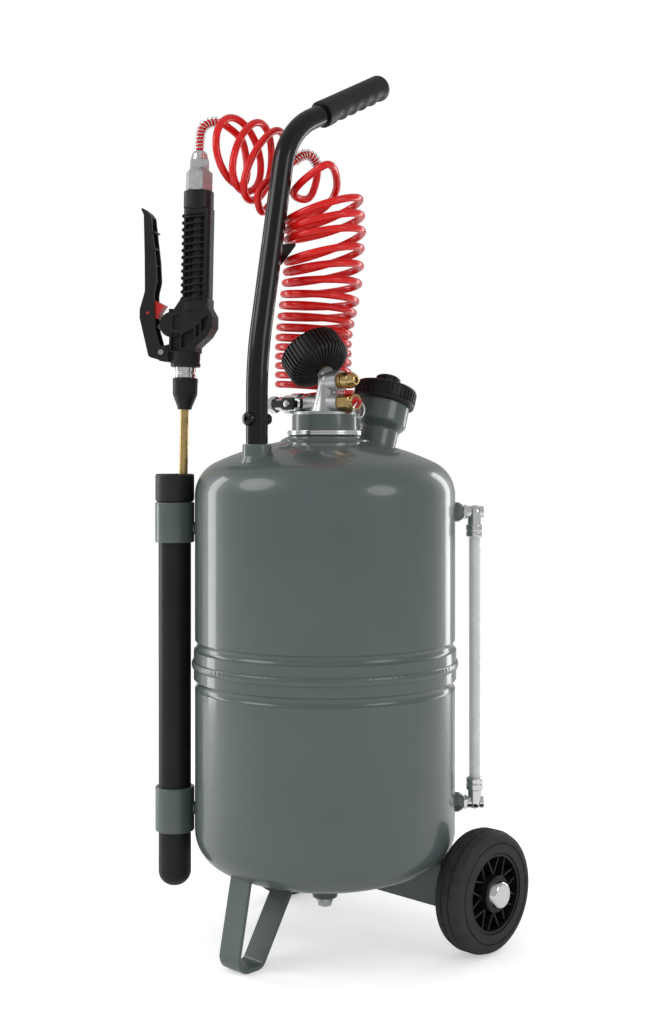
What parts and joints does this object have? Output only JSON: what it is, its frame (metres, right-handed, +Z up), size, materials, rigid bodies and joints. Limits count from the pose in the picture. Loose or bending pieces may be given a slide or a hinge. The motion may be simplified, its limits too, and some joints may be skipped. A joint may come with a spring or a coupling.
{
  "type": "wheeled sprayer cart",
  "caption": "Upright steel pressure tank on a wheeled frame with a push handle, pressure gauge, filler cap, sight tube, curly hose and a trigger spray lance in a side holder.",
  "frame": {"origin": "on the floor, at the middle of the footprint box", "axes": "+Z up; the wheel axle runs along X; the wheels are at the +Y side, the foot and the foot of the push handle at the -Y side"},
  "size_m": [0.332, 0.2893, 0.9213],
  "materials": {
    "tank_paint": "glossy grey-green enamel over welded steel",
    "handle_paint": "gloss black powder coat",
    "black_plastic": "moulded black plastic",
    "grip_rubber": "soft black moulded rubber",
    "boot_rubber": "ribbed black rubber",
    "tyre_rubber": "solid dark grey rubber",
    "holder_plastic": "extruded black plastic tube",
    "chrome": "bright chrome plate",
    "zinc": "bright zinc plated steel",
    "cast_aluminium": "cast aluminium, fine grained skin",
    "brass": "turned brass",
    "clear_tube": "clear plastic tube",
    "dial_face": "white printed dial",
    "lens": "flat clear lens",
    "needle_black": "black stamped needle",
    "red_plastic": "red moulded plastic",
    "hose_red": "glossy red polyurethane hose",
    "guard_steel": "plated spring wire"
  },
  "bodies": {
    "root": {"air_valve_body": "brass", "axle": "zinc", "ball_valve_body": "chrome", "dip_tube": "brass", "drain_plug": "zinc", "filler_neck": "tank_paint", "front_foot": "tank_paint", "gauge_boot": "boot_rubber", "gauge_case": "zinc", "gauge_dial": "dial_face", "gauge_lens": "lens", "gauge_stem": "brass", "girth_weld": "tank_paint", "handle_bolt": "zinc", "handle_grip": "grip_rubber", "handle_tube": "handle_paint", "holder_collar": "holder_plastic", "holder_rings": "tank_paint", "holder_tube": "holder_plastic", "hose_guards": "guard_steel", "lower_shell": "tank_paint", "manifold": "cast_aluminium", "neck_clamp_ring": "chrome", "neck_collar": "tank_paint", "outlet_hose_nut": "chrome", "relief_valve_body": "brass", "relief_valve_sleeve": "red_plastic", "sight_elbows": "chrome", "sight_nuts": "chrome", "sight_tube": "clear_tube", "spiral_hose": "hose_red", "upper_shell": "tank_paint", "wheel_bracket": "tank_paint", "wheel_spacers": "zinc"},
    "wheel_right": {"tyre_right": "tyre_rubber", "wheel_rim_right": "black_plastic", "hub_cap_right": "chrome"},
    "wheel_left": {"tyre_left": "tyre_rubber", "wheel_rim_left": "black_plastic", "hub_cap_left": "chrome"},
    "spray_gun": {"gun_shell_near": "black_plastic", "gun_shell_far": "black_plastic", "gun_inlet": "cast_aluminium", "gun_hose_nut": "chrome", "lance_ring": "chrome", "lance_nut": "black_plastic", "lance_tube": "brass", "lance_nozzle": "brass", "trigger_pin": "zinc"},
    "trigger": {"gun_trigger": "black_plastic"},
    "latch": {"trigger_latch": "red_plastic"},
    "pushrod": {"valve_pushrod": "zinc"},
    "outlet_lever": {"ball_valve_stem": "chrome", "ball_valve_lever": "black_plastic"},
    "cap": {"filler_cap": "black_plastic", "cap_gasket": "grip_rubber"},
    "relief_pull": {"relief_valve_stem": "red_plastic", "relief_pull_ring": "chrome"},
    "needle": {"gauge_needle": "needle_black"},
    "air_core": {"air_valve_core": "brass"}
  },
  "joints": [
    {"name": "wheel_right_spin", "type": "hinge", "parent": "root", "child": "wheel_right", "pos_m": [0.14, 0.0823, 0.0625], "axis": [1, 0, 0], "continuous": true},
    {"name": "wheel_left_spin", "type": "hinge", "parent": "root", "child": "wheel_left", "pos_m": [-0.14, 0.0823, 0.0625], "axis": [1, 0, 0], "continuous": true},
    {"name": "gun_lift", "type": "slide", "parent": "root", "child": "spray_gun", "axis": [0.0151, 0.0145, 0.9998], "range_m": [0, 0.45], "deforming": ["spiral_hose", "hose_guards"]},
    {"name": "trigger_squeeze", "type": "hinge", "parent": "spray_gun", "child": "trigger", "pos_m": [-0.12567, -0.12001, 0.61638], "axis": [-0.53, 0.848, -0.0044], "range_deg": [0, 6], "stiffness_Nm_per_rad": 2, "springref_deg": -2.86},
    {"name": "pushrod_slide", "type": "slide", "parent": "spray_gun", "child": "pushrod", "axis": [0.8479, 0.5298, -0.0205], "range_m": [0, 0.003]},
    {"name": "latch_flip", "type": "hinge", "parent": "trigger", "child": "latch", "pos_m": [-0.13828, -0.12767, 0.65769], "axis": [0.53, -0.848, 0.0044], "range_deg": [0, 25]},
    {"name": "outlet_lever_turn", "type": "hinge", "parent": "root", "child": "outlet_lever", "pos_m": [-0.039, -0.0057, 0.563], "axis": [0, 1, 0], "range_deg": [0, 90]},
    {"name": "cap_lift", "type": "slide", "parent": "root", "child": "cap", "axis": [0, 0.3007, 0.9537], "range_m": [0, 0.08]},
    {"name": "relief_pull_out", "type": "slide", "parent": "root", "child": "relief_pull", "axis": [1, 0, 0], "range_m": [0, 0.003], "stiffness_N_per_m": 300, "springref_m": -0.002},
    {"name": "needle_sweep", "type": "hinge", "parent": "root", "child": "needle", "pos_m": [-0.01743, -0.0057, 0.61424], "axis": [0.6691, 0, -0.7431], "range_deg": [0, 270], "stiffness_Nm_per_rad": 0.0002, "springref_deg": -17.19},
    {"name": "air_core_push", "type": "slide", "parent": "root", "child": "air_core", "axis": [-1, 0, 0], "range_m": [0, 0.001], "stiffness_N_per_m": 300, "springref_m": -0.002}
  ],
  "couplings": [
    {"joint": "pushrod_slide", "follows": "trigger_squeeze", "m_per_rad": 0.0277}
  ]
}
